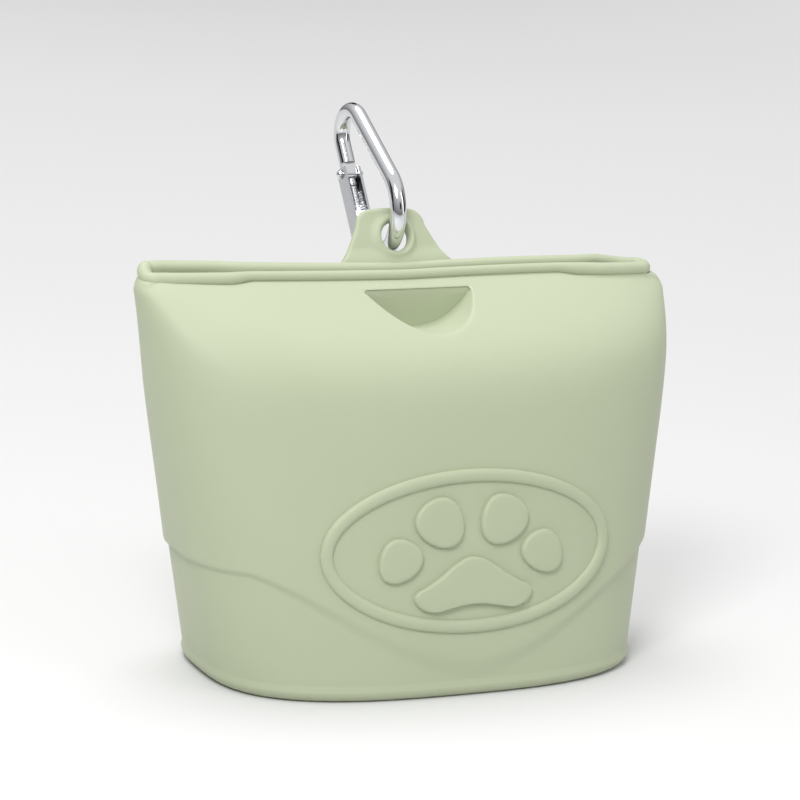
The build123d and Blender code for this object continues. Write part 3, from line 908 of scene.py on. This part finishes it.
def card(name, size, place, aim, strength):
    """Soft rectangular studio light."""
    data = bpy.data.lights.new(name, "AREA")
    data.shape = "RECTANGLE"
    data.size, data.size_y = size
    data.energy = strength
    obj = bpy.data.objects.new(name, data)
    bpy.context.scene.collection.objects.link(obj)
    obj.location = place
    obj.rotation_mode = "QUATERNION"
    obj.rotation_quaternion = (Vector(aim) - Vector(place)).to_track_quat("-Z", "Y")


def studio_floor(reach):
    """Large pale square that the pouch stands on."""
    data = bpy.data.meshes.new("studio_floor")
    corners = [(-reach, -reach, 0), (reach, -reach, 0), (reach, reach, 0), (-reach, reach, 0)]
    data.from_pydata(corners, [], [(0, 1, 2, 3)])
    obj = bpy.data.objects.new("studio_floor", data)
    bpy.context.scene.collection.objects.link(obj)
    data.materials.append(shader("pale_floor", (0.67, 0.67, 0.67), 0.85)[0])


studio_floor(3.0)


def studio_world():
    """Soft studio surroundings: bright overhead, dim round the horizon."""
    world = bpy.data.worlds.new("studio")
    world.use_nodes = True
    tree = world.node_tree
    background = tree.nodes["Background"]
    background.inputs["Color"].default_value = (1, 1, 1, 1)
    place = tree.nodes.new("ShaderNodeTexCoord")
    split = tree.nodes.new("ShaderNodeSeparateXYZ")
    tree.links.new(place.outputs["Generated"], split.inputs["Vector"])
    height = map_range(tree, split.outputs["Z"], 0.0, 0.75, 0.20, 0.85)
    tree.links.new(height.outputs["Result"], background.inputs["Strength"])
    bpy.context.scene.world = world


studio_world()


def dark_card(name, place, width, height):
    """Black upright card out of view, for the dark bands in the chrome."""
    data = bpy.data.meshes.new(name)
    x, z = width / 2, height / 2
    data.from_pydata([(-x, 0, -z), (x, 0, -z), (x, 0, z), (-x, 0, z)], [], [(0, 1, 2, 3)])
    obj = bpy.data.objects.new(name, data)
    bpy.context.scene.collection.objects.link(obj)
    obj.location = place
    obj.rotation_euler = (0, 0, atan2(-place[0], place[1]) if place[1] else pi / 2)
    data.materials.append(shader(name + "_black", (0.01, 0.01, 0.01), 0.9)[0])


dark_card("left_dark_card", (-0.90, 0.20, 0.34), 0.42, 0.6)
dark_card("right_dark_card", (0.80, -0.30, 0.40), 0.40, 0.6)
dark_card("rear_dark_card", (0.45, 1.5, 0.85), 0.45, 0.9)
dark_card("front_dark_card", (0.15, -1.3, 0.55), 0.45, 0.35)

target = (0, 0, 0.06)
card("key_light", (0.30, 0.30), (-0.42, -0.42, 0.70), target, 4.2)
card("right_light", (0.3, 0.9), (0.85, -0.75, 0.5), target, 1.3)


def top_light(strength, spread, direction):
    """Broad light from above."""
    sun = bpy.data.objects.new("top_light", bpy.data.lights.new("top_light", "SUN"))
    bpy.context.scene.collection.objects.link(sun)
    sun.data.energy = strength
    sun.data.angle = radians(spread)
    sun.rotation_mode = "QUATERNION"
    sun.rotation_quaternion = Vector(direction).to_track_quat("-Z", "Y")


top_light(1.35, 35, (0.0, -0.33, -1.0))

camera_azimuth = radians(27.63)
camera_elevation = radians(15.79)
camera_tilt = radians(4.48)
camera_distance = 1.0064
camera_lens = 177.2
frame_shift_right = 5.9 * MM
frame_shift_down = 18.7 * MM


def add_camera():
    """Camera with a long lens, to the object's left and a little above it."""
    aim_centre = Vector((0, 0, lip_top / 2))
    flat = cos(camera_elevation)
    ahead = Vector((sin(camera_azimuth) * flat, cos(camera_azimuth) * flat, -sin(camera_elevation)))
    level_right = Vector((cos(camera_azimuth), -sin(camera_azimuth), 0))
    level_up = level_right.cross(ahead)
    image_right = cos(camera_tilt) * level_right + sin(camera_tilt) * level_up
    image_up = -sin(camera_tilt) * level_right + cos(camera_tilt) * level_up
    data = bpy.data.cameras.new("camera")
    data.sensor_width = 36
    data.lens = camera_lens
    data.clip_start, data.clip_end = 0.05, 20
    camera = bpy.data.objects.new("camera", data)
    bpy.context.scene.collection.objects.link(camera)
    eye = aim_centre - ahead * camera_distance
    # The object sits a little right of and below the middle of the frame
    look_at = aim_centre - image_right * frame_shift_right + image_up * frame_shift_down
    forward = (look_at - eye).normalized()
    side = image_right - image_right.dot(forward) * forward
    side.normalize()
    up = side.cross(forward)
    rotation = Matrix((side, up, -forward)).transposed()
    camera.matrix_world = Matrix.Translation(eye) @ rotation.to_4x4()
    bpy.context.scene.camera = camera


add_camera()
bpy.context.scene.view_settings.view_transform = "Standard"
